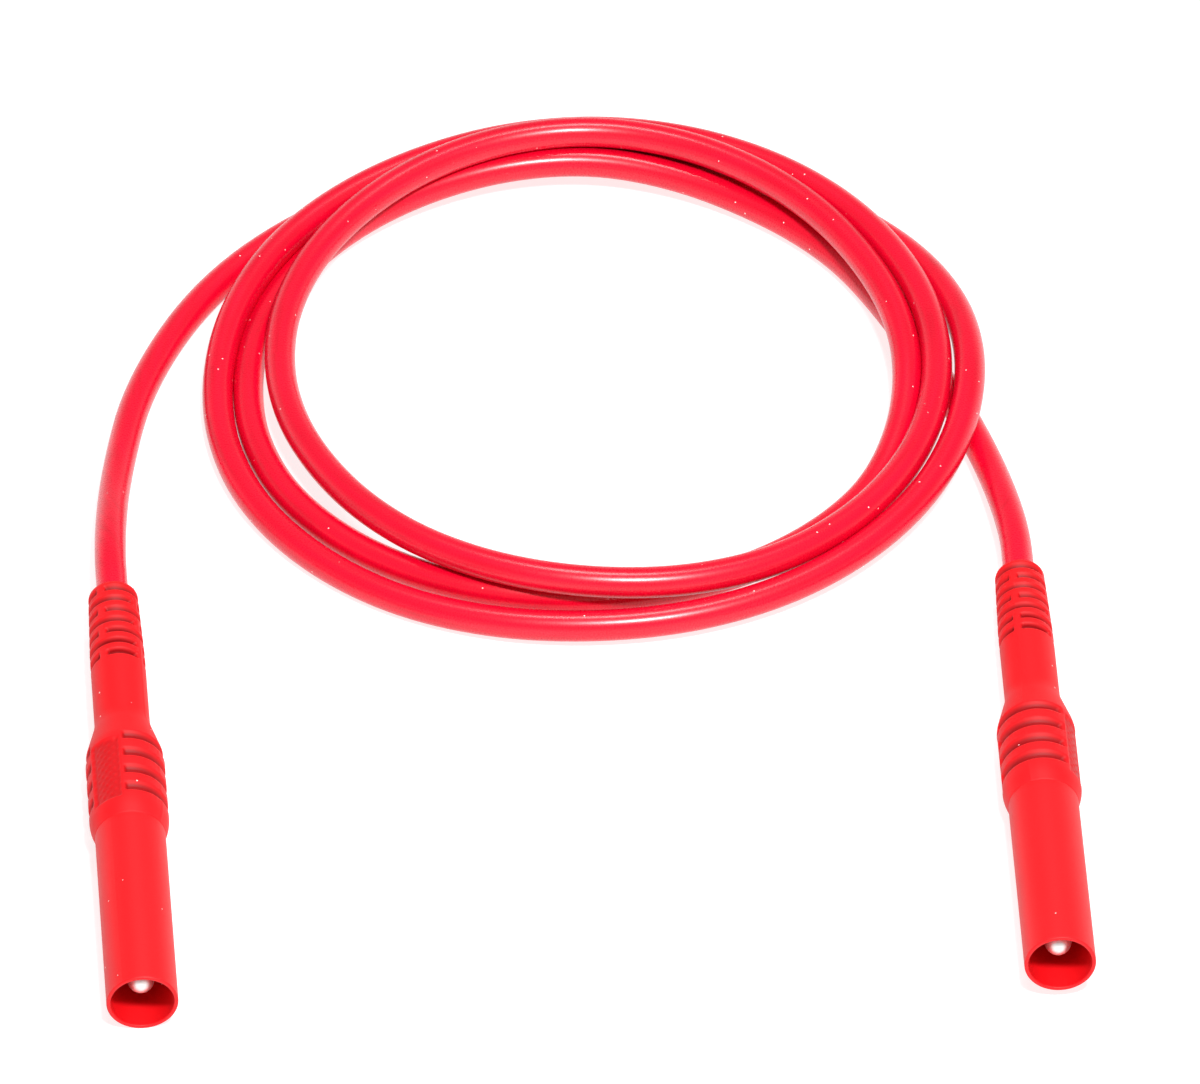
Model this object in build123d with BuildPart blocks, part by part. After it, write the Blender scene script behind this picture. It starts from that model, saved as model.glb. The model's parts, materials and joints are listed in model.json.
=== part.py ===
"""Safety test lead: a red flexible cable laid in a flat coil, with a shrouded 4 mm plug at each end.

Millimetres, +Z up.  The lead lies on the plane z = 0.  The origin is on that plane, under the
middle of the pair of plugs; both plugs point towards -Y and the coil lies beyond them, at +Y.

Each plug is built along its own axis: `seat` is the plane at the rear end of its strain relief,
whose z direction runs to the mouth and whose x direction passes through the two thumb panels.
Distances along a plug are measured from that rear end.
"""
import os
from math import atan2, cos, degrees, pi, radians, sin, tan

from build123d import *

os.makedirs("parts", exist_ok=True)

# ---- cable ---------------------------------------------------------------------------------
cable_d = 3.9           # outer jacket
core_d = 2.7            # white inner insulation
strands_d = 1.6         # bundle of fine copper wires
cable_r = cable_d / 2

# ---- plug, outside -------------------------------------------------------------------------
plug_length = 71.0      # rear of the strain relief to the mouth
rear_d = 6.1            # strain relief where the cable enters it
neck_d = 6.75           # the rest of the strain relief
grip_d = 9.6
shroud_d = 8.5          # insulating tube round the pin
shroud_wall = 0.5
taper_end = 11.0        # where the strain relief reaches its full diameter
crease_at = 23.4        # where it starts to flare out to the grip
grip_start = 29.2
grip_end = 41.0
shoulder_end = 42.8     # where the overmoulding ends on the tube
rear_fillet = 0.6
flare_fillet = 3.0
shoulder_fillet = 1.3
lip_fillet = 0.2

# slots that let the strain relief bend
slot_rows = 7
slot_first_at = 1.4
slot_pitch = 1.97
slot_width = 0.85
slot_floor = 0.4        # material left between a slot and the cable
slot_bridge = 1.1       # width of a rib that ties two rings together

# ribs and panels of the grip
groove_rows = 4
groove_first_at = 29.7
groove_pitch = 3.0
groove_width = 1.3
groove_depth = 0.6
panel_width = 3.7
panel_depth = 0.25
panel_margin = 0.8      # from the panel's ends to the grip's
groove_gap = 4.8        # grooves stop this far apart, either side of a panel

# ---- plug, inside --------------------------------------------------------------------------
jacket_depth = 12.0     # jacket inside the strain relief
core_depth = 22.0       # the inner insulation ends here
crimp_start = 30.0
crimp_bore = 9.0        # depth of the bore that holds the wires
crimp_d = 3.6
spigot_start = 33.0     # rear end of the tube, inside the grip
spigot_wall = 1.6
web_start = 43.8        # the wall across the tube that holds the pin
web_end = 50.0
shank_d = 3.2
collar_d = 3.8
collar_length = 1.4
mandrel_d = 2.4         # the thin stretch of the pin that the spring cage turns on
head_d = 3.3
head_length = 4.0
nose_length = 1.8
tip_flat_d = 0.4        # left at the very tip by turning
tip_recess = 2.4        # the pin's tip stays this far inside the mouth

# spring cage
running_clearance = 0.05
end_clearance = 0.1
cage_sheet = 0.25
cage_d = 4.2            # across the bowed leaves, before they are pressed into a socket
cage_ring = 1.5         # length of each end ring
cage_leaves = 8
cage_gap = 0.4          # between two leaves

# ---- how the plugs lie ---------------------------------------------------------------------
left_rear = (-57.72, 32.76)     # centre of the rear end, seen from above
left_yaw = 5.05                 # degrees, from -Y towards +X
left_roll = 122.0               # of the panels, about the plug's axis
right_rear = (54.20, 38.19)
right_yaw = 1.9
right_roll = 22.0
right_tilt = 1.1                # mouth up: its cable presses the rear end down

# ---- coil and the two leads to it ----------------------------------------------------------
coil_centre = (1.4, 78.55)
coil_inner_r = 37.6
coil_outer_r = 49.7
coil_height = 8.0
coil_fillet = 2.2

exit_run = 10.0         # how far the cable goes on straight out of a strain relief
left_route = [          # from there to the coil, with the cable lying on the table
    (-58.6, 59.2, cable_r + 0.45),
    (-56.3, 78.0, cable_r),
    (-48.3, 97.2, cable_r),
    (-36.0, 111.2, cable_r),
]
right_route = [
    (51.0, 64.4, cable_r),
    (45.4, 79.6, cable_r),
]
bend_share = 0.45       # share of the shorter run that each arc takes up

# ---- sizes that follow ---------------------------------------------------------------------
neck_r = neck_d / 2
grip_r = grip_d / 2
shroud_r = shroud_d / 2
mouth_r = shroud_r - shroud_wall
head_end = plug_length - tip_recess
collar_end = web_end + collar_length
mandrel_end = head_end - head_length
spigot_r = grip_r - spigot_wall
crimp_end = crimp_start + crimp_bore + 2.0
left_tilt = -degrees(atan2(grip_r - shroud_r, plug_length - grip_end))  # lies on grip and mouth


def plug_seat(rear, yaw, tilt, roll):
    """The plane at a plug's rear end, from where that lies and how the plug is turned."""
    level = cos(radians(tilt))
    to_mouth = Vector(sin(radians(yaw)) * level, -cos(radians(yaw)) * level, sin(radians(tilt)))
    level_side = Vector(cos(radians(yaw)), sin(radians(yaw)), 0)
    upper_side = to_mouth.cross(level_side)
    panel_side = level_side * cos(radians(roll)) + upper_side * sin(radians(roll))
    # a plug tilted mouth down stands on the front of its grip, and mouth up on the back of it
    resting_at = grip_end if tilt < 0 else grip_start
    rear_height = grip_r * level - resting_at * sin(radians(tilt))
    return Plane(origin=(*rear, rear_height), x_dir=panel_side, z_dir=to_mouth)


def profile_plane(seat):
    """The plane that holds a plug's half section: x is the radius, y runs to the mouth."""
    return Plane(origin=seat.origin, x_dir=seat.x_dir, z_dir=-seat.y_dir)


def plug_axis(seat):
    return Axis(seat.origin, seat.z_dir)


def rings_at(solid, seat, distance):
    """The circular edges of a solid that lie at a distance along the plug."""
    found = []
    for edge in solid.edges().filter_by(GeomType.CIRCLE):
        if abs(seat.to_local_coords(edge.arc_center).Z - distance) < 0.01:
            found.append(edge)
    return ShapeList(found)


def make_boot(seat):
    """Grip and slotted strain relief, moulded in one piece over the cable, pin and tube."""
    with BuildPart() as boot:
        with BuildSketch(profile_plane(seat)):
            with BuildLine():
                Polyline(
                    (0, 0),
                    (rear_d / 2, 0),
                    (neck_r, taper_end),
                    (neck_r, crease_at),
                    (grip_r, grip_start),
                    (grip_r, grip_end),
                    (shroud_r, shoulder_end),
                    (0, shoulder_end),
                    close=True,
                )
            make_face()
        revolve(axis=plug_axis(seat))
        fillet(rings_at(boot.part, seat, 0), rear_fillet)
        fillet(rings_at(boot.part, seat, grip_start), flare_fillet)
        fillet(rings_at(boot.part, seat, grip_end), shoulder_fillet)

        # cavity left by what it is moulded over
        for radius, start, end in (
            (cable_r, 0, jacket_depth),
            (core_d / 2, jacket_depth, core_depth),
            (strands_d / 2, core_depth, crimp_start),
            (crimp_d / 2, crimp_start, spigot_start),
            (spigot_r, spigot_start, shoulder_end),
        ):
            with BuildSketch(seat.offset(start)):
                Circle(radius)
            extrude(amount=end - start, mode=Mode.SUBTRACT)

        # slots: rings cut into the strain relief, tied together by ribs that change sides
        for row in range(slot_rows):
            with BuildSketch(seat.offset(slot_first_at + row * slot_pitch - slot_width / 2)):
                Circle(neck_r + 1)
                Circle(cable_r + slot_floor, mode=Mode.SUBTRACT)
                last = row == slot_rows - 1
                if row % 2 == 0 or last:
                    Rectangle(neck_d + 2, slot_bridge, mode=Mode.SUBTRACT)
                if row % 2 == 1 or last:
                    Rectangle(slot_bridge, neck_d + 2, mode=Mode.SUBTRACT)
            extrude(amount=slot_width, mode=Mode.SUBTRACT)

        # finger grooves on both sides of the grip
        for row in range(groove_rows):
            with BuildSketch(seat.offset(groove_first_at + row * groove_pitch - groove_width / 2)):
                Circle(grip_r + 1)
                Circle(grip_r - groove_depth, mode=Mode.SUBTRACT)
                Rectangle(grip_d + 2, groove_gap, mode=Mode.SUBTRACT)
            extrude(amount=groove_width, mode=Mode.SUBTRACT)

        # sunken thumb panels
        with BuildSketch(seat.offset(grip_start + panel_margin)):
            Rectangle(grip_d + 2, panel_width)
            Circle(grip_r - panel_depth, mode=Mode.SUBTRACT)
        extrude(amount=grip_end - grip_start - 2 * panel_margin, mode=Mode.SUBTRACT)
    return boot.part


def make_shroud(seat):
    """Insulating tube round the pin, with the web that holds it and a spigot inside the grip."""
    with BuildPart() as shroud:
        with BuildSketch(seat.offset(shoulder_end)):
            Circle(shroud_r)
        extrude(amount=plug_length - shoulder_end)
        with BuildSketch(seat.offset(spigot_start)):
            Circle(spigot_r)
        extrude(amount=shoulder_end - spigot_start)
        for radius, start, end in (
            (mouth_r, web_end, plug_length),
            (crimp_d / 2, spigot_start, web_start),
            (shank_d / 2, web_start, web_end),
        ):
            with BuildSketch(seat.offset(start)):
                Circle(radius)
            extrude(amount=end - start, mode=Mode.SUBTRACT)
        fillet(rings_at(shroud.part, seat, plug_length), lip_fillet)
    return shroud.part


def make_pin(seat):
    """Turned brass pin: crimp barrel, shank, collar, mandrel for the cage, and a rounded head."""
    with BuildPart() as pin:
        with BuildSketch(profile_plane(seat)):
            with BuildLine():
                body = Polyline(
                    (0, crimp_start),
                    (crimp_d / 2, crimp_start),
                    (crimp_d / 2, web_start),
                    (shank_d / 2, web_start),
                    (shank_d / 2, web_end),
                    (collar_d / 2, web_end),
                    (collar_d / 2, collar_end),
                    (mandrel_d / 2, collar_end),
                    (mandrel_d / 2, mandrel_end),
                    (head_d / 2, mandrel_end),
                    (head_d / 2, head_end - nose_length),
                )
                nose = EllipticalCenterArc(
                    (tip_flat_d / 2, head_end - nose_length),
                    (head_d - tip_flat_d) / 2,
                    nose_length,
                    start_angle=0,
                    arc_size=90,
                )
                Polyline(nose @ 1, (0, head_end), body @ 0)
            make_face()
        revolve(axis=plug_axis(seat))
        with BuildSketch(seat.offset(crimp_start)):
            Circle(strands_d / 2)
        extrude(amount=crimp_bore, mode=Mode.SUBTRACT)
    return pin.part


def make_cage(seat):
    """Sheet-metal spring cage with bowed leaves, free to turn on the pin's mandrel."""
    bore_r = mandrel_d / 2 + running_clearance
    ring_r = bore_r + cage_sheet
    rear = collar_end + end_clearance
    front = mandrel_end - end_clearance
    middle = (rear + front) / 2
    bow = cage_d / 2 - ring_r
    with BuildPart() as cage:
        with BuildSketch(profile_plane(seat)):
            with BuildLine():
                inside = Line((bore_r, rear), (bore_r, rear + cage_ring))
                bowed_in = ThreePointArc(
                    inside @ 1, (bore_r + bow, middle), (bore_r, front - cage_ring)
                )
                front_ring = Polyline(
                    bowed_in @ 1, (bore_r, front), (ring_r, front), (ring_r, front - cage_ring)
                )
                bowed_out = ThreePointArc(
                    front_ring @ 1, (ring_r + bow, middle), (ring_r, rear + cage_ring)
                )
                Polyline(bowed_out @ 1, (ring_r, rear), inside @ 0)
            make_face()
        revolve(axis=plug_axis(seat))
        # each bar cuts the gaps on two opposite sides
        with BuildSketch(seat.offset(rear + cage_ring)):
            with PolarLocations(0, cage_leaves // 2, angular_range=180):
                Rectangle(cage_d + 2, cage_gap)
        extrude(amount=front - rear - 2 * cage_ring, mode=Mode.SUBTRACT)
    return cage.part


def make_strands(seat):
    """Copper wires, from the end of the jacket to the bottom of the crimp barrel."""
    with BuildPart() as strands:
        with BuildSketch(seat.offset(jacket_depth)):
            Circle(strands_d / 2)
        extrude(amount=crimp_start + crimp_bore - jacket_depth)
    return strands.part


def make_core(seat):
    """White inner insulation, where the jacket is stripped off it."""
    with BuildPart() as core:
        with BuildSketch(seat.offset(jacket_depth)):
            Circle(core_d / 2)
            Circle(strands_d / 2, mode=Mode.SUBTRACT)
        extrude(amount=core_depth - jacket_depth)
    return core.part


def bend_radii(points):
    """One radius for each corner, as large as the two runs beside it allow."""
    radii = []
    for before, corner, after in zip(points, points[1:], points[2:]):
        run_in = Vector(*corner) - Vector(*before)
        run_out = Vector(*after) - Vector(*corner)
        half_turn = radians(run_in.get_angle(run_out) / 2)
        radii.append(bend_share * min(run_in.length, run_out.length) / tan(half_turn))
    return radii


def make_lead(name, seat, route):
    """Cable from inside a plug's strain relief to the coil."""
    start = seat.origin + seat.z_dir * jacket_depth
    straight_end = seat.origin - seat.z_dir * exit_run
    points = [tuple(start), tuple(straight_end), *route]
    radii = bend_radii(points)
    with BuildPart() as lead:
        with BuildLine() as path:
            FilletPolyline(*points, radius=radii)
        track = path.wire()
        with BuildSketch(Plane(origin=track @ 0, z_dir=track % 0)):
            Circle(cable_r)
        sweep(path=track)
    straight_volume = pi * cable_r**2 * track.length
    print(name, "bend radii", [round(radius, 1) for radius in radii], "length", round(track.length, 1))
    print(name, "volume / straight cable of that length", round(lead.part.volume / straight_volume, 4))
    return lead.part


# ---- the two plugs -------------------------------------------------------------------------
seats = {
    "left": plug_seat(left_rear, left_yaw, left_tilt, left_roll),
    "right": plug_seat(right_rear, right_yaw, right_tilt, right_roll),
}
pieces = {}
for side, seat in seats.items():
    pieces[side + "_boot"] = make_boot(seat)
    pieces[side + "_shroud"] = make_shroud(seat)
    pieces[side + "_pin"] = make_pin(seat)
    pieces[side + "_cage"] = make_cage(seat)
    pieces[side + "_strands"] = make_strands(seat)
    pieces[side + "_core"] = make_core(seat)

# ---- cable ---------------------------------------------------------------------------------
pieces["left_lead"] = make_lead("left_lead", seats["left"], left_route)
pieces["right_lead"] = make_lead("right_lead", seats["right"], right_route)

with BuildPart() as coil:
    with BuildSketch(Plane(origin=(*coil_centre, 0))):
        Circle(coil_outer_r)
        Circle(coil_inner_r, mode=Mode.SUBTRACT)
    extrude(amount=coil_height)
    fillet(coil.edges().group_by(Axis.Z)[-1], coil_fillet)
pieces["cable_coil"] = coil.part

for name, piece in pieces.items():
    piece.label = name
    export_step(piece, "parts/" + name + ".step")

# what the record needs to know about where the plugs lie
plugs = Compound([piece for name, piece in pieces.items() if name.endswith(("_boot", "_shroud"))])
box = plugs.bounding_box()
print("plugs from", box.min, "to", box.max)
for side, seat in seats.items():
    print(side, "rear", seat.origin, "mouth", seat.origin + seat.z_dir * plug_length, "axis", seat.z_dir)
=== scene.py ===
# %% [markdown]
# # A coiled test lead, with a shrouded 4 mm plug at each end
#
# This lesson dresses a small engineering model for its picture.  The model arrives finished in
# its sizes: two plugs, the springs that turn on their pins, and simple stand-ins for the cable.
# What is left for us is what the eye notices first: how a soft cable lies when it is coiled by
# hand, how a rubber moulding rounds off at every edge, and how red plastic takes the light.
#
# Everything below is in metres, and every plug piece is placed from the model itself.

# %% Load the model
import json
from math import cos, pi, radians, sin

import bpy
from mathutils import Matrix, Vector


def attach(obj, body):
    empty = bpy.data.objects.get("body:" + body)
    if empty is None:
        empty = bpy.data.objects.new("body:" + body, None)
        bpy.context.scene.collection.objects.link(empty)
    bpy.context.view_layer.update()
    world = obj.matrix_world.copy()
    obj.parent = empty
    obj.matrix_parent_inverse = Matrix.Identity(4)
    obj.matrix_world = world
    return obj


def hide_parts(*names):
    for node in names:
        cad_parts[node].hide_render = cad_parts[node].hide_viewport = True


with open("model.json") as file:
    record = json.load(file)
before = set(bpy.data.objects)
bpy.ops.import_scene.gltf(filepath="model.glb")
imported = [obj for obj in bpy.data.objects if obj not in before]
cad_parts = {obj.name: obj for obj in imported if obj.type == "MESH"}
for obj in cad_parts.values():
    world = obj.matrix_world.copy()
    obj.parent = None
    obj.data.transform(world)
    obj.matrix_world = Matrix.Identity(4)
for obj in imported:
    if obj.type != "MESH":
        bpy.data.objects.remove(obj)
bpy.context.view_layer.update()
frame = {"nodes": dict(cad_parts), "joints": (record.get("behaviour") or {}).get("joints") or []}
nodes = frame["nodes"]
MM = 0.001

# %% [markdown]
# ## Where we stand
#
# The lead lies flat on a white table and is seen from in front and above, through a long lens
# from more than a metre away.  A long lens keeps the coil's ellipse even and the plugs nearly
# parallel, and a short one would swell whatever is near.  The camera could be turned by a
# tracking constraint, but three numbers and one rotation say the same thing and stay readable:
# the point on the table that it looks at, how steeply it looks down, and how far off it is.

# %% Camera
LOOK_AT = Vector((0.0023, 0.04955, 0))
LOOK_DOWN = radians(41)
CAMERA_DISTANCE = 1.15

camera_data = bpy.data.cameras.new("camera")
camera_data.lens = 276
camera_data.sensor_width = 36
camera_data.clip_start = 0.05
camera = bpy.data.objects.new("camera", camera_data)
bpy.context.scene.collection.objects.link(camera)
camera.location = LOOK_AT + CAMERA_DISTANCE * Vector((0, -cos(LOOK_DOWN), sin(LOOK_DOWN)))
camera.rotation_euler = (pi / 2 - LOOK_DOWN, 0, 0)
bpy.context.scene.camera = camera
print("camera at", [round(x, 4) for x in camera.location])

# %% [markdown]
# ## Finding the plugs
#
# Each plug was drawn along its own axis, from the rear of its strain relief to its mouth.  The
# joint that its spring turns on lies on that axis, so the joint tells us all we need: a point, a
# direction, and, because we know how far along the plug the spring sits, where the rear end is.
# A small matrix then carries a point from "so far along the plug, so far off its axis" into the
# scene.  Its first column points through the thumb panel, its third towards the mouth.

# %% The two plugs' own axes
SPRING_ALONG = 58.0 * MM        # rear end of a plug to the middle of its spring
PANEL_ROLL = {"left": radians(122), "right": radians(22)}


def plug_matrix(side):
    joint = next(j for j in frame["joints"] if j["name"] == side + "_cage_spin")
    to_mouth = Vector(joint["axis"]).normalized()
    level = Vector((-to_mouth.y, to_mouth.x, 0)).normalized()
    upper = to_mouth.cross(level)
    panel = level * cos(PANEL_ROLL[side]) + upper * sin(PANEL_ROLL[side])
    across = to_mouth.cross(panel)
    rear = Vector(joint["pos_m"]) - to_mouth * SPRING_ALONG
    columns = Matrix((panel, across, to_mouth)).transposed().to_4x4()
    return Matrix.Translation(rear) @ columns


plugs = {side: plug_matrix(side) for side in PANEL_ROLL}
for side, plug in plugs.items():
    print(side, "plug's rear end at", [round(x, 4) for x in plug.translation])

# %% [markdown]
# ## How the cable lies
#
# A flexible lead keeps its length: whatever one turn gives up, another takes.  This one was wound
# three and a quarter times, clockwise seen from above, and let go.  Its turns are nearly the same
# size, so they climb over each other, slip down again, and cross wherever the next one starts.
#
# A helix would be too tidy, and a simulation would never fall the same way as this lead did.  So
# the coil is written down by the clock instead: for each hour, how far the cable's middle is from
# the coil's centre and how high it is lifted off the table.  A lift of nothing is a turn on the
# table, and a lift of one cable diameter is a turn lying on another.  In the far part, where four
# turns meet in one bundle, the last turn but one rides on top of all the others.
#
# The numbers are not worked out here.  They came out of a separate solver, which fitted the turns
# to where they are seen to lie and kept them a cable's thickness apart, and some of them were
# then changed by hand.

# %% The turns, hour by hour, in millimetres
CABLE_D = 3.9 * MM
CABLE_R = CABLE_D / 2
COIL_CENTRE = Vector((1.4, 78.55, 0)) * MM

hours_of_each_turn = [
    # radius and lift at 11, 12, 1, 2 ... 10 o'clock
    [(46.1, 0), (44.8, 0), (45.5, 0), (47.1, 1.5), (47.8, 4.1), (48.2, 2.6),
     (47.8, 1.1), (47.7, 0.7), (48.5, 0), (48.6, 0), (47.6, 0.7), (46.9, 2.6)],
    [(45.4, 4.1), (46.7, 3.5), (45.2, 4.0), (43.7, 4.2), (43.6, 4.1), (44.2, 3.3),
     (44.2, 2.9), (43.1, 3.9), (41.3, 3.8), (39.4, 3.2), (39.7, 2.8), (41.3, 3.7)],
    [(42.2, 5.9), (43.6, 5.9), (41.6, 5.3), (39.6, 4.3), (39.9, 3.1), (40.7, 0),
     (41.0, 0), (41.6, 0), (43.1, 0), (44.3, 0), (43.8, 0), (43.8, 0.3)],
    [(42.5, 1.8), (41.7, 2.4), (40.4, 0.6), (40.2, 0)],
]

# %% [markdown]
# Twelve points to a turn would already make a round curve, but a crossing is over within an
# hour's worth of cable, so the half hours are filled in too, each from the two hours on both
# sides of it.  A curve of this kind runs inside its control points, touching the middle of each
# leg between them, so the points are set out by as much as the legs cut in.

# %% Points along the turns
FIRST_HOUR = 11
HOUR = radians(30)


def half_past(values, i):
    """Value midway between i and i + 1, on a smooth curve through the four nearest."""
    before = values[max(i - 1, 0)]
    after = values[min(i + 2, len(values) - 1)]
    return (9 * (values[i] + values[i + 1]) - before - after) / 16


def coil_point(hour, radius, lift):
    angle = pi / 2 - hour * HOUR
    set_out = radius * MM / cos(HOUR / 4)
    height = CABLE_R + lift * MM
    return COIL_CENTRE + Vector((set_out * cos(angle), set_out * sin(angle), height))


radii = [radius for turn in hours_of_each_turn for radius, lift in turn]
lifts = [lift for turn in hours_of_each_turn for radius, lift in turn]
turn_points = []
for i in range(len(radii)):
    turn_points.append(coil_point(FIRST_HOUR + i, radii[i], lifts[i]))
    if i + 1 < len(radii):
        half_lift = max(half_past(lifts, i), 0)
        turn_points.append(coil_point(FIRST_HOUR + i + 0.5, half_past(radii, i), half_lift))
print(len(turn_points), "points in", round((len(radii) - 1) / 12, 2), "turns")

# %% [markdown]
# From the coil to each plug the cable lies in one easy bend, held down by the plug's weight.  It
# leaves the strain relief along the plug's own axis, so the first points are on that axis: the
# end of the jacket inside the moulding, the rear face, and a point 10 mm further out.  The rest
# follow the bend, about two centimetres apart.
#
# A curve's bound box takes in each point's own radius, whatever its bevel is.  So the cable's
# radius is given to the points, and the bevel is left at 1, and then the box is the cable's.

# %% Points from the coil to the plugs
JACKET_DEPTH = 12 * MM          # jacket inside the strain relief
EXIT_RUN = 10 * MM              # straight out of it

left_route = [
    (-0.0586, 0.0592, 0.0024),
    (-0.0563, 0.0780, 0.00195),
    (-0.0483, 0.0972, 0.00195),
    (-0.0358, 0.1111, 0.00195),
]
right_route = [
    (0.0508, 0.0644, 0.00195),
    (0.0454, 0.0796, 0.00195),
]


def on_axis(side, along):
    return plugs[side] @ Vector((0, 0, along))


def out_of_plug(side):
    return [on_axis(side, JACKET_DEPTH), on_axis(side, 0), on_axis(side, -EXIT_RUN)]


cable_points = out_of_plug("left") + [Vector(p) for p in left_route] + turn_points
cable_points += [Vector(p) for p in reversed(right_route)] + out_of_plug("right")[::-1]
print("cable of", len(cable_points), "points")

curve = bpy.data.curves.new("cable", "CURVE")
curve.dimensions = "3D"
spline = curve.splines.new("NURBS")
spline.points.add(len(cable_points) - 1)
for point, place in zip(spline.points, cable_points):
    point.co = (*place, 1)
    point.radius = CABLE_R
spline.order_u = 3
spline.use_endpoint_u = True
spline.resolution_u = 8
curve.bevel_depth = 1
curve.bevel_resolution = 8
curve.use_fill_caps = True
cable = bpy.data.objects.new("cable", curve)
bpy.context.scene.collection.objects.link(cable)

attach(cable, "root")
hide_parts("cable_coil", "left_lead", "right_lead")

# %% [markdown]
# ## The soft grip, one moulding
#
# Behind the hard tube of each plug sits a single shot of soft rubber: a grip with finger grooves
# and two sunken thumb panels, and a tail cut into rings so that it bends with the cable.  The
# model has this moulding with knife-sharp slots.  Rubber leaves its mould with every edge a little
# round, and that roundness is what the light shows.
#
# Cutting the slots with booleans and bevelling what is left would work, but forty short edges
# meet badly.  The moulding is nearly a turned part, though, so it is made as a lathe would see
# it: rings of points along the plug, where each point's distance from the axis is the outline
# less whatever is sunk into it there.  Soft steps in place of hard ones then round every edge.

# %% Outline of the moulding, in millimetres
# (along the plug, radius): tail, its thick end, waist, grip, front shoulder, front edge
outline = [(0, 3.05), (11, 3.375), (23.8, 3.375), (29.3, 4.8), (41, 4.8), (42.8, 4.26)]
FRONT = outline[-1][0]
REAR_ROUNDING = 0.6
OUTLINE_SOFTNESS = 0.9


def straight_outline(along):
    """Radius on the outline's straight runs."""
    for (start, radius), (end, next_radius) in zip(outline, outline[1:]):
        if along <= end:
            return radius + (next_radius - radius) * (along - start) / (end - start)
    return outline[-1][1]


def outline_radius(along):
    """The same with rounded corners: a mean over a short stretch, a quarter round at the rear."""
    reach = min(OUTLINE_SOFTNESS, along, FRONT - along)
    samples = [straight_outline(along + reach * k / 4) for k in range(-4, 5)]
    radius = sum(samples) / len(samples)
    if along < REAR_ROUNDING:
        left = REAR_ROUNDING - along
        radius -= REAR_ROUNDING - (REAR_ROUNDING ** 2 - left ** 2) ** 0.5
    return radius


print("radius at the waist", outline_radius(20), "and on the grip", outline_radius(35))

# %% [markdown]
# Every sunken or raised shape is a soft step, either along the plug or across it.  The two thumb
# panels face the plug's own X direction, so the distance across from a panel's middle is the
# radius times the sine of the angle round the axis.  The two halves of the mould met on the other
# two sides, and a hair of rubber stands up along that line.
#
# A slot would cut the tail in two if it ran right round.  So each leaves a narrow bridge on two
# opposite sides, and the next one leaves its bridges a quarter turn away.  The last has all four.

# %% Soft steps
def soft_step(x, edge, softness):
    """0 well below the edge, 1 well above it."""
    t = min(max((x - edge) / softness + 0.5, 0), 1)
    return t * t * (3 - 2 * t)


def inside(x, half_width, softness):
    """1 within a band round 0, 0 outside it."""
    return 1 - soft_step(abs(x), half_width, softness)


print("halfway up a step:", soft_step(2.4, 2.4, 0.3))

# %% Slots in the tail
SLOTS = [1.4 + 1.97 * row for row in range(7)]
SLOT_FLOOR = 2.35               # radius at the bottom of a slot, just clear of the cable
SLOT_HALF_WIDTH = 0.44
BRIDGE_HALF_WIDTH = 0.6


def slot_depth(along, radius, from_panel, from_parting):
    deepest = 0
    for row, place in enumerate(SLOTS):
        cut = inside(along - place, SLOT_HALF_WIDTH, 0.13)
        last = row == len(SLOTS) - 1
        if row % 2 == 0 or last:
            cut *= soft_step(from_panel, BRIDGE_HALF_WIDTH, 0.2)
        if row % 2 == 1 or last:
            cut *= soft_step(from_parting, BRIDGE_HALF_WIDTH, 0.2)
        deepest = max(deepest, cut)
    return deepest * (radius - SLOT_FLOOR)


print(len(SLOTS), "slots, sunk by", slot_depth(SLOTS[0], 3.05, 3, 0), "mm at the rear")

# %% Grooves and panels on the grip
GRIP_STARTS = 25                # anywhere between the tail and the grip
GROOVES = [29.7 + 3.0 * row for row in range(4)]
GROOVE_HALF_WIDTH = 0.62
GROOVE_DEPTH = 0.65
GROOVE_STOPS = 2.4              # from a panel's middle line
PANEL_MIDDLE, PANEL_HALF_LENGTH, PANEL_HALF_WIDTH = 35.1, 5.1, 1.85
PANEL_DEPTH, PIP_HEIGHT, PIP_SPACING = 0.26, 0.13, 1.2


def groove_depth(along, from_panel):
    deepest = max(inside(along - place, GROOVE_HALF_WIDTH, 0.25) for place in GROOVES)
    return GROOVE_DEPTH * soft_step(from_panel, GROOVE_STOPS, 0.3) * deepest


def panel_depth(along, from_panel):
    sunk = inside(along - PANEL_MIDDLE, PANEL_HALF_LENGTH, 0.3)
    sunk *= inside(from_panel, PANEL_HALF_WIDTH, 0.3)
    wave = 2 * pi / PIP_SPACING
    pips = max(0, sin(wave * along) * cos(wave * from_panel)) ** 2
    return sunk * (PANEL_DEPTH - PIP_HEIGHT * pips)


print(len(GROOVES), "grooves, sunk by", groove_depth(GROOVES[0], 4), "mm")

# %% Everything sunk or raised
RIDGE_HEIGHT = 0.05
RIDGE_HALF_WIDTH = 0.06
BARELY_SUNK = 0.02              # less than this and the ridge shows


def sunk_by(along, angle):
    """How far the surface lies below the outline there."""
    radius = outline_radius(along)
    from_panel, from_parting = radius * abs(sin(angle)), radius * abs(cos(angle))
    sunk = slot_depth(along, radius, from_panel, from_parting)
    if along > GRIP_STARTS:
        sunk = max(groove_depth(along, from_panel), panel_depth(along, from_panel))
    if sunk > BARELY_SUNK:
        return sunk
    return -RIDGE_HEIGHT * inside(from_parting, RIDGE_HALF_WIDTH, 0.14)


print("on the parting line the surface is sunk by", sunk_by(20, pi / 2), "mm")

# %% [markdown]
# Inside, the moulding follows the cable, the wires, the crimped pin and the tube's spigot, so it
# is closed as a real wall and not as a shell: the rings run forward along the outside and back
# along the bores.  They lie closest where the slots are, because a slot's edge is a tenth of a
# millimetre of slope.
#
# The mesh also remembers how deep each point is sunk.  The finish reads that later and paints
# shade into the slots, grooves and panels, darker the deeper they are sunk.

# %% Rings of the moulding
SIDES = 144
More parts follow.
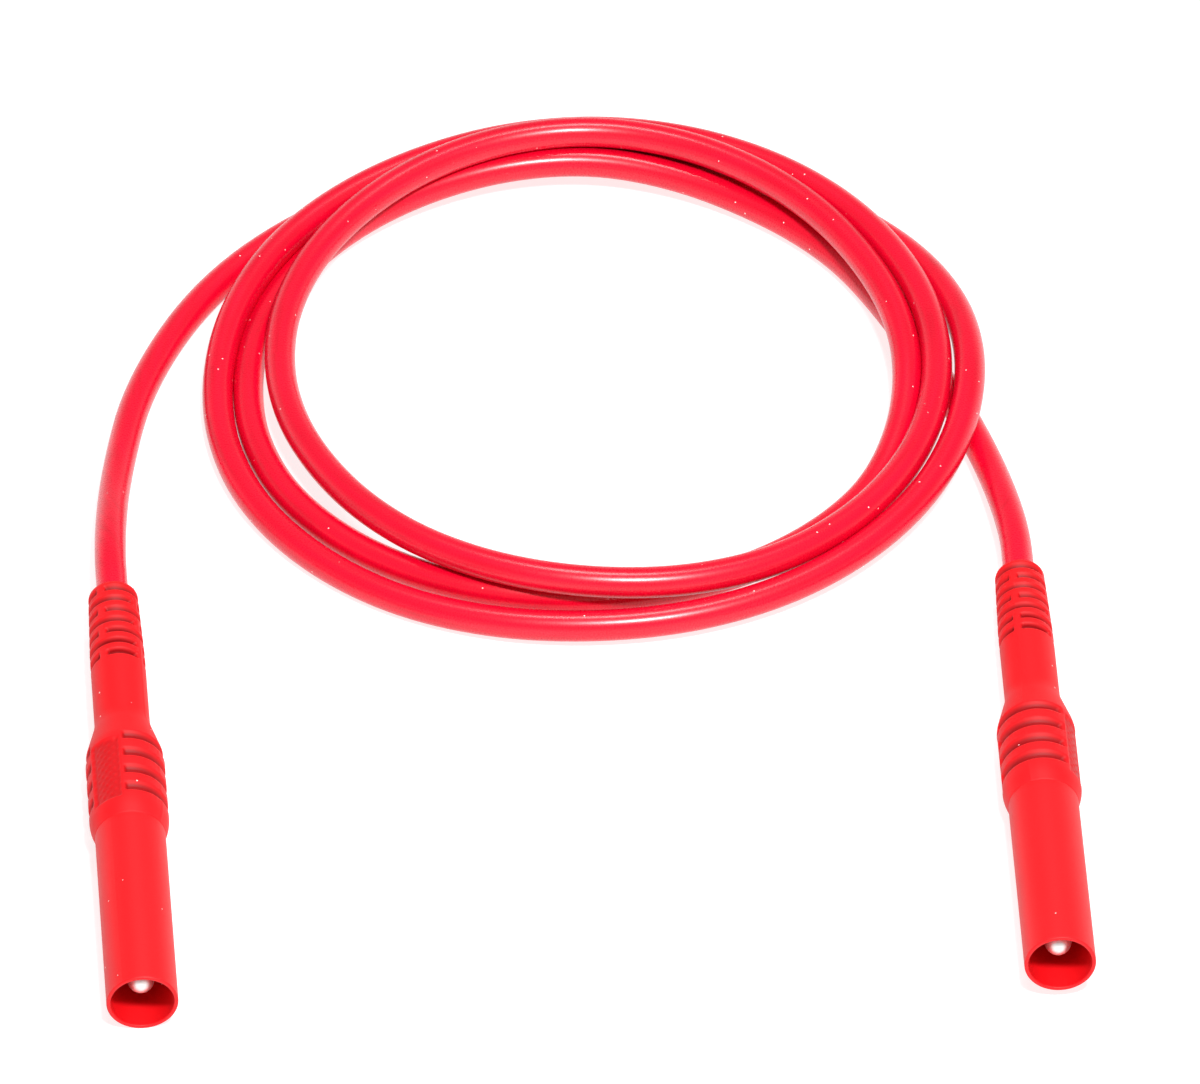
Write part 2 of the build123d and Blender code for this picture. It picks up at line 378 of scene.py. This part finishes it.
# (along the plug, radius), from the spigot's bore back to the cable's
bores = [(FRONT, 3.2), (33, 3.2), (33, 1.8), (30, 1.8), (30, 0.8), (22, 0.8),
         (22, 1.35), (12, 1.35), (12, 1.96), (0, 1.96)]


def spread(start, end, step):
    count = round((end - start) / step)
    return [start + (end - start) * k / count for k in range(count)]


angles = [2 * pi * k / SIDES for k in range(SIDES)]
stations = spread(0, 15, 0.13) + spread(15, 23, 0.5) + spread(23, FRONT, 0.2) + [FRONT]
depths = [[sunk_by(along, angle) for angle in angles] for along in stations]
rings = [(along, [outline_radius(along) - depth for depth in around])
         for along, around in zip(stations, depths)]
rings += [(along, [radius] * SIDES) for along, radius in bores]
print(len(rings), "rings of", SIDES, "points")

# %% The moulding as a mesh
def moulding_mesh():
    places = []
    for along, around in rings:
        for angle, radius in zip(angles, around):
            places.append((radius * cos(angle) * MM, radius * sin(angle) * MM, along * MM))
    faces = []
    for ring in range(len(rings)):
        this, following = ring * SIDES, (ring + 1) % len(rings) * SIDES
        for k in range(SIDES):
            beside = (k + 1) % SIDES
            faces.append((this + k, this + beside, following + beside, following + k))
    mesh = bpy.data.meshes.new("moulding")
    mesh.from_pydata(places, [], faces)
    mesh.shade_smooth()
    sunk = mesh.attributes.new("sunk", "FLOAT", "POINT")
    for k, depth in enumerate(depth for around in depths for depth in around):
        sunk.data[k].value = depth
    print("moulding with", len(faces), "faces")
    return mesh


mouldings = {}
for side, plug in plugs.items():
    moulding = bpy.data.objects.new(side + "_moulding", moulding_mesh())
    bpy.context.scene.collection.objects.link(moulding)
    moulding.matrix_world = plug
    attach(moulding, "root")
    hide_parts(side + "_boot")
    mouldings[side] = moulding

# %% [markdown]
# ## Mixing the finishes
#
# A finish is a small tree of nodes.  Setting up each node by hand takes a line for every input,
# so a few helpers keep the trees short.  The first adds a node and fills its inputs by name, or
# by number for the nodes of arithmetic, whose inputs all have the same name.  The second starts a
# finish.  The rest are the three things every finish here is mixed from: grain, a number that
# follows the grain, and a blend of two colours.

# %% Helpers for finishes
def feed(tree, socket, value):
    """Gives a socket a number or a colour, or links it to another node's output."""
    if isinstance(value, bpy.types.NodeSocket):
        tree.links.new(value, socket)
    else:
        socket.default_value = value


def add(tree, kind, operation=None, **inputs):
    """A new node with its inputs fed; _0 and _1 mean its first and second input."""
    made = tree.nodes.new("ShaderNode" + kind)
    if operation is not None:
        made.operation = operation
    for name, value in inputs.items():
        key = int(name[1:]) if name[1:].isdigit() else name.replace("_", " ")
        feed(tree, made.inputs[key], value)
    return made


def new_finish(name, **sockets):
    """A material, its tree, its shader and the place on the surface in the piece's own space."""
    finish = bpy.data.materials.new(name)
    finish.use_nodes = True
    tree = finish.node_tree
    shader = tree.nodes["Principled BSDF"]
    for socket, value in sockets.items():
        shader.inputs[socket.replace("_", " ")].default_value = value
    place = add(tree, "TexCoord").outputs["Object"]
    return finish, tree, shader, place


def grain(tree, place, size, detail=2):
    """Noise whose lumps are about one size across."""
    return add(tree, "TexNoise", Vector=place, Scale=1 / size, Detail=detail).outputs["Fac"]


def between(tree, factor, low, high):
    """A number that follows the factor from low to high."""
    return add(tree, "MapRange", Value=factor, To_Min=low, To_Max=high).outputs["Result"]


def blend_colours(tree, factor, first, second):
    mix = tree.nodes.new("ShaderNodeMix")
    mix.data_type = "RGBA"
    feed(tree, mix.inputs["Factor"], factor)
    feed(tree, mix.inputs[6], first)        # the colour inputs, which have the numbers' names
    feed(tree, mix.inputs[7], second)
    return mix.outputs[2]


print("helpers ready")

# %% [markdown]
# ## Dust and streaks
#
# A lead that has been used is never clean.  Specks of dust sit in cells of space, one at most to a
# cell, and only some cells get one, so they fall evenly but not in rows.
#
# The jacket was drawn out of a die, which leaves faint streaks along the cable.  Noise has no
# idea which way the cable runs, but round the coil it runs nearly in circles.  So the noise is
# asked for the place in circles too: how far from the coil's centre, how high, and only a little
# of how far round.

# %% Dust and streaks
def dust(tree, place, spacing, speck, share):
    """1 on a speck of dust, 0 elsewhere."""
    cells = add(tree, "TexVoronoi", Vector=place, Scale=1 / spacing)
    near = add(tree, "Math", "LESS_THAN", _0=cells.outputs["Distance"], _1=speck / spacing)
    tint = add(tree, "SeparateColor", Color=cells.outputs["Color"]).outputs["Red"]
    chosen = add(tree, "Math", "LESS_THAN", _0=tint, _1=share)
    return add(tree, "Math", "MULTIPLY", _0=near.outputs[0], _1=chosen.outputs[0]).outputs[0]


def round_the_coil(tree, place):
    """The place by radius, height and a little of the angle, so that noise runs along the turns."""
    from_centre = add(tree, "VectorMath", "SUBTRACT", _0=place, _1=COIL_CENTRE).outputs[0]
    xyz = add(tree, "SeparateXYZ", Vector=from_centre).outputs
    flat = add(tree, "CombineXYZ", X=xyz["X"], Y=xyz["Y"]).outputs[0]
    radius = add(tree, "VectorMath", "LENGTH", _0=flat).outputs["Value"]
    angle = add(tree, "Math", "ARCTAN2", _0=xyz["Y"], _1=xyz["X"]).outputs[0]
    short = add(tree, "Math", "MULTIPLY", _0=angle, _1=2 * MM).outputs[0]
    return add(tree, "CombineXYZ", X=radius, Y=short, Z=xyz["Z"]).outputs[0]


print("streaks run round", [round(x, 4) for x in COIL_CENTRE])

# %% [markdown]
# ## Three reds
#
# The cable, the grip and the tube are the same red to the eye but three different plastics.  The
# cable's jacket is soft and satin, and it has been handled, so it carries the most dust.  The grip
# is rubber from a spark-eroded mould, matt and finely grained, and shade is painted into its
# slots, grooves and panels.  The tube is hard plastic, with slight swirls where it flowed into the
# mould.  One function makes all three, because they differ only in how large their grain is, how
# glossy they are, how dusty, and whether they are wound in a coil.

# %% Red plastics
CABLE_REDS = (0.62, 0.0002, 0.018, 1), (0.78, 0.0008, 0.026, 1)
PLUG_REDS = (0.66, 0.0004, 0.004, 1), (0.80, 0.0016, 0.006, 1)
# Painted shade: the grip's red is darkened towards the next colour where its surface is sunk,
# standing in for the shade in its slots, grooves and panels.
HOLLOW_SHADE_RED = (0.30, 0.0001, 0.002, 1)
DUST_COLOUR = (1.0, 0.72, 0.70, 1)
DUST_SPACING = 1.6 * MM
DUST_SPECK = 0.10 * MM          # its radius
STREAK_SIZE = 0.7 * MM


def red_plastic(name, reds, shine, rough, grain_size, grain_height, wave_size, dusty, wound=False):
    """All sizes in mm; dusty is the share of cells with a speck in them."""
    finish, tree, shader, place = new_finish(name, Specular_IOR_Level=shine)
    waves = grain(tree, place, wave_size * MM, detail=3)
    fine = grain(tree, place, grain_size * MM)
    specks = dust(tree, place, DUST_SPACING, DUST_SPECK, dusty)
    lightness = waves
    if wound:
        streaks = between(tree, grain(tree, round_the_coil(tree, place), STREAK_SIZE), -1, 1)
        lightness = add(tree, "Math", "ADD", _0=waves, _1=streaks).outputs[0]
    red = blend_colours(tree, lightness, *reds)
    # Painted shade: the deeper the mesh is sunk at a point, the more its red is darkened towards
    # the painted shade colour.
    sunk_for_shade = add(tree, "Attribute")
    sunk_for_shade.attribute_name = "sunk"
    red = blend_colours(tree, between(tree, sunk_for_shade.outputs["Fac"], 0, 1.6), red, HOLLOW_SHADE_RED)
    feed(tree, shader.inputs["Base Color"], blend_colours(tree, specks, red, DUST_COLOUR))
    feed(tree, shader.inputs["Roughness"], between(tree, fine, *rough))
    bumps = add(tree, "Bump", Height=fine, Distance=grain_height * MM).outputs[0]
    lumps = add(tree, "Bump", Height=waves, Distance=4 * grain_height * MM, Normal=bumps)
    feed(tree, shader.inputs["Normal"], lumps.outputs[0])
    return finish


jacket_red = red_plastic("satin_jacket", CABLE_REDS, shine=0.5, rough=(0.22, 0.34), grain_size=0.25,
                         grain_height=0.0015, wave_size=9, dusty=0.45, wound=True)
grip_red = red_plastic("moulded_rubber", PLUG_REDS, shine=0.32, rough=(0.52, 0.66), grain_size=0.12,
                       grain_height=0.006, wave_size=6, dusty=0.30)
tube_red = red_plastic("hard_tube", PLUG_REDS, shine=0.38, rough=(0.48, 0.62), grain_size=0.20,
                       grain_height=0.004, wave_size=12, dusty=0.14)
cable.data.materials.append(jacket_red)
for moulding in mouldings.values():
    moulding.data.materials.append(grip_red)
print("reds:", [red.name for red in (jacket_red, grip_red, tube_red)])

# %% [markdown]
# ## Metal and wire
#
# The pins are turned brass with nickel on them, so they carry faint rings from the lathe under a
# bright skin.  The springs are the same nickel on stamped sheet, a little duller.  Inside the
# grips, where a curious hand may look later, the wires are copper and the inner insulation is
# white.

# %% Metals and insulation
def ringed_metal(name, colour, rough, ring_size, ring_height):
    """Metal with fine rings across the plug's length; sizes in mm."""
    finish, tree, shader, place = new_finish(name, Metallic=1, Base_Color=colour)
    rings = add(tree, "TexWave", Vector=place, Scale=1 / (ring_size * MM), Distortion=0.6)
    rings.bands_direction = "Y"
    smear = grain(tree, place, 0.8 * MM)
    feed(tree, shader.inputs["Roughness"], between(tree, smear, *rough))
    turned = add(tree, "Bump", Height=rings.outputs["Fac"], Distance=ring_height * MM)
    feed(tree, shader.inputs["Normal"], turned.outputs[0])
    return finish


def plain_insulation(name, colour, shade):
    finish, tree, shader, place = new_finish(name, Roughness=0.5)
    cloud = grain(tree, place, 2 * MM)
    feed(tree, shader.inputs["Base Color"], blend_colours(tree, cloud, colour, shade))
    return finish


nickel = ringed_metal("nickel_on_brass", (0.97, 0.96, 0.94, 1), (0.40, 0.52), 0.5, 0.002)
spring_nickel = ringed_metal("nickel_on_spring", (0.80, 0.79, 0.76, 1), (0.30, 0.44), 0.8, 0.002)
copper = ringed_metal("copper_wire", (0.80, 0.42, 0.27, 1), (0.25, 0.40), 1.2, 0.02)
white_core = plain_insulation("white_core", (0.88, 0.87, 0.84, 1), (0.80, 0.79, 0.76, 1))
print("metals:", [metal.name for metal in (nickel, spring_nickel, copper)])

# %% [markdown]
# Every piece of the model gets its finish, the covered ones too, so that nothing is left grey if
# it is uncovered later.  The last word of a piece's name says what it is made of.

# %% Finishes on the model's pieces
finish_of = {"shroud": tube_red, "pin": nickel, "cage": spring_nickel, "strands": copper,
             "core": white_core, "boot": grip_red, "lead": jacket_red, "coil": jacket_red}
for name, piece in nodes.items():
    piece.data.materials.clear()
    piece.data.materials.append(finish_of[name.split("_")[-1]])
print("finishes on", len(nodes), "pieces of the model")

# %% [markdown]
# ## Light and table
#
# The table is a lit sheet: white paper that glows, so that the shadows on it nearly vanish and no
# red from the cable shows in it.  Without the glow it would take about twice the light to look as
# white, and the red would burn out first.

# %% Table
TABLE_SIZE = 1.5
PAPER_GREYS = (0.36, 0.36, 0.36, 1), (0.42, 0.42, 0.42, 1)

paper, tree, shader, place = new_finish("white_paper", Roughness=0.9, Specular_IOR_Level=0.1,
                                        Emission_Color=(1, 1, 1, 1), Emission_Strength=0.78)
fibres = grain(tree, place, 1.5 * MM)
feed(tree, shader.inputs["Base Color"], blend_colours(tree, fibres, *PAPER_GREYS))
bpy.ops.mesh.primitive_plane_add(size=TABLE_SIZE, location=(0, TABLE_SIZE / 4, 0))
table = bpy.context.object
table.name = "table"
table.data.materials.append(paper)
print("table", TABLE_SIZE, "m square")

# %% [markdown]
# A round cable shows a light as a line, and only where it runs across the line of sight.  One
# small bright lamp stands a little to the right of us and above, and draws the white line on the
# nearest turns.  A wider, weaker one hangs over the coil and lightens the tops.
#
# The sky fills the rest.  It is as bright as the table near the horizon, as if the sheet curved up
# behind, and dim overhead, so that the sides of the plugs keep their depth.

# %% Lamps
def soft_lamp(name, size, place, aim, power):
    data = bpy.data.lights.new(name, "AREA")
    data.shape = "RECTANGLE"
    data.size, data.size_y = size
    data.energy = power
    lamp = bpy.data.objects.new(name, data)
    bpy.context.scene.collection.objects.link(lamp)
    lamp.location = place
    lamp.rotation_euler = (Vector(place) - Vector(aim)).to_track_quat("Z", "Y").to_euler()
    return lamp


soft_lamp("key", (0.14, 0.10), (0.14, -0.42, 0.83), COIL_CENTRE, 10.5)
soft_lamp("overhead", (0.30, 0.12), (0.02, 0.28, 0.9), COIL_CENTRE, 2.6)
print("lamps:", [light.name for light in bpy.data.lights])

# %% Sky
BRIGHT_HORIZON = 1.1
DIM_OVERHEAD = 0.24
ALL_DIM_FROM = 0.5              # height of a direction, 0 at the horizon and 1 overhead

sky = bpy.data.worlds.new("sky")
sky.use_nodes = True
tree = sky.node_tree
direction = add(tree, "TexCoord").outputs["Generated"]
height = add(tree, "SeparateXYZ", Vector=direction).outputs["Z"]
strength = add(tree, "MapRange", Value=height, From_Min=0, From_Max=ALL_DIM_FROM,
               To_Min=BRIGHT_HORIZON, To_Max=DIM_OVERHEAD).outputs["Result"]
backdrop = tree.nodes["Background"]
feed(tree, backdrop.inputs["Color"], (1, 1, 1, 1))
feed(tree, backdrop.inputs["Strength"], strength)
bpy.context.scene.world = sky
bpy.context.scene.view_settings.view_transform = "Standard"

# %% Bring the scene up to date
bpy.context.view_layer.update()
